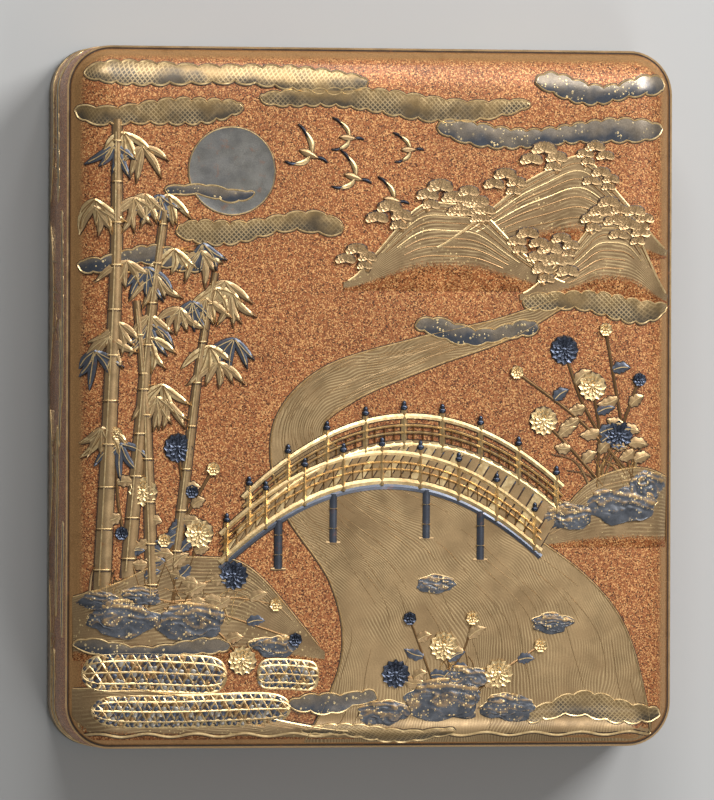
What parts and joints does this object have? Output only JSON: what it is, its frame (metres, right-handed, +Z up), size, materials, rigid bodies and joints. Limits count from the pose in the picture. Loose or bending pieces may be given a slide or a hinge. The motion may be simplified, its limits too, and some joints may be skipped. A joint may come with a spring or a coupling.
{
  "type": "writing box",
  "caption": "Rectangular lacquered writing box with a crowned overhanging lid over a shallow case that holds an inkstone, a water dropper and two lift-out tool trays.",
  "frame": {"origin": "middle of the case's underside, on the surface the box stands on", "axes": "+Z up out of the case, +Y towards the head of the box where the inkstone's well and the dropper are, +X across its width"},
  "size_m": [0.22, 0.249, 0.0514],
  "materials": {
    "nashiji": "clear lacquer over sprinkled gold flakes on wood, polished",
    "makie": "raised and sprinkled gold and silver lacquer on wood",
    "rim_metal": "worn pewter-like edging strip",
    "gold_inlay": "cut sheet gold, engraved, satin",
    "silver_inlay": "cut sheet silver, tarnished blue-black",
    "slate": "honed dark slate, matt",
    "patinated_copper": "brown patinated metal vessel",
    "bamboo": "smoked bamboo, oiled",
    "hair": "brush hair",
    "steel": "ground steel",
    "ink": "pressed soot ink, matt black"
  },
  "bodies": {
    "base": {"base_bottom": "nashiji", "base_walls": "nashiji", "base_rim": "rim_metal"},
    "lid": {"lid_skirt": "nashiji", "lid_rim": "rim_metal", "lid_panel": "makie", "lid_relief_gold": "makie", "lid_relief_silver": "makie", "lid_flowers_gold": "gold_inlay", "lid_flowers_silver": "silver_inlay"},
    "board": {"centre_board": "nashiji"},
    "stone": {"inkstone": "slate"},
    "dropper": {"dropper_bowl": "patinated_copper", "dropper_cover": "patinated_copper", "dropper_spout": "gold_inlay"},
    "left_tray": {"left_tray": "nashiji", "left_tray_rim": "rim_metal"},
    "right_tray": {"right_tray": "nashiji", "right_tray_rim": "rim_metal"},
    "brush_1": {"brush_1_handle": "bamboo", "brush_1_ferrule": "gold_inlay", "brush_1_hair": "hair"},
    "brush_1_cap": {"brush_1_cap": "nashiji"},
    "brush_2": {"brush_2_handle": "bamboo", "brush_2_ferrule": "gold_inlay", "brush_2_hair": "hair"},
    "brush_2_cap": {"brush_2_cap": "nashiji"},
    "knife": {"knife_handle": "nashiji", "knife_collar": "gold_inlay", "knife_blade": "steel"},
    "knife_sheath": {"knife_sheath": "nashiji"},
    "awl": {"awl_handle": "nashiji", "awl_collar": "gold_inlay", "awl_point": "steel"},
    "awl_sheath": {"awl_sheath": "nashiji"},
    "ink_holder": {"ink_holder": "nashiji"},
    "ink_ring": {"ink_holder_ring": "gold_inlay"},
    "ink_stick": {"ink_stick": "ink"}
  },
  "joints": [
    {"name": "lid_lift", "type": "slide", "parent": "base", "child": "lid", "axis": [0, 0, 1], "range_m": [0, 0.25]},
    {"name": "board_lift", "type": "slide", "parent": "base", "child": "board", "axis": [0, 0, 1], "range_m": [0, 0.04]},
    {"name": "stone_lift", "type": "slide", "parent": "board", "child": "stone", "axis": [0, 0, 1], "range_m": [0, 0.06]},
    {"name": "dropper_lift", "type": "slide", "parent": "board", "child": "dropper", "axis": [0, 0, 1], "range_m": [0, 0.06]},
    {"name": "left_tray_lift", "type": "slide", "parent": "base", "child": "left_tray", "axis": [0, 0, 1], "range_m": [0, 0.075]},
    {"name": "right_tray_lift", "type": "slide", "parent": "base", "child": "right_tray", "axis": [0, 0, 1], "range_m": [0, 0.075]},
    {"name": "brush_1_lift", "type": "slide", "parent": "left_tray", "child": "brush_1", "axis": [0, 0, 1], "range_m": [0, 0.045]},
    {"name": "brush_2_lift", "type": "slide", "parent": "left_tray", "child": "brush_2", "axis": [0, 0, 1], "range_m": [0, 0.045]},
    {"name": "knife_lift", "type": "slide", "parent": "right_tray", "child": "knife", "axis": [0, 0, 1], "range_m": [0, 0.045]},
    {"name": "awl_lift", "type": "slide", "parent": "right_tray", "child": "awl", "axis": [0, 0, 1], "range_m": [0, 0.045]},
    {"name": "holder_lift", "type": "slide", "parent": "right_tray", "child": "ink_holder", "axis": [0, 0, 1], "range_m": [0, 0.045]},
    {"name": "brush_1_uncap", "type": "slide", "parent": "brush_1", "child": "brush_1_cap", "axis": [0, 1, 0], "range_m": [0, 0.043]},
    {"name": "brush_2_uncap", "type": "slide", "parent": "brush_2", "child": "brush_2_cap", "axis": [0, 1, 0], "range_m": [0, 0.043]},
    {"name": "knife_unsheathe", "type": "slide", "parent": "knife", "child": "knife_sheath", "axis": [0, 1, 0], "range_m": [0, 0.05]},
    {"name": "awl_unsheathe", "type": "slide", "parent": "awl", "child": "awl_sheath", "axis": [0, 1, 0], "range_m": [0, 0.042]},
    {"name": "ink_stick_draw", "type": "slide", "parent": "ink_holder", "child": "ink_stick", "axis": [0, 1, 0], "range_m": [0, 0.03]},
    {"name": "ring_slide", "type": "slide", "parent": "ink_holder", "child": "ink_ring", "axis": [0, -1, 0], "range_m": [0, 0.022]}
  ],
  "couplings": [
    {"joint": "board_lift", "follows": "lid_lift", "ratio": 0.16},
    {"joint": "stone_lift", "follows": "lid_lift", "ratio": 0.24},
    {"joint": "dropper_lift", "follows": "lid_lift", "ratio": 0.24},
    {"joint": "left_tray_lift", "follows": "lid_lift", "ratio": 0.3},
    {"joint": "right_tray_lift", "follows": "lid_lift", "ratio": 0.3},
    {"joint": "brush_1_lift", "follows": "lid_lift", "ratio": 0.18},
    {"joint": "brush_2_lift", "follows": "lid_lift", "ratio": 0.18},
    {"joint": "knife_lift", "follows": "lid_lift", "ratio": 0.18},
    {"joint": "awl_lift", "follows": "lid_lift", "ratio": 0.18},
    {"joint": "holder_lift", "follows": "lid_lift", "ratio": 0.18}
  ]
}
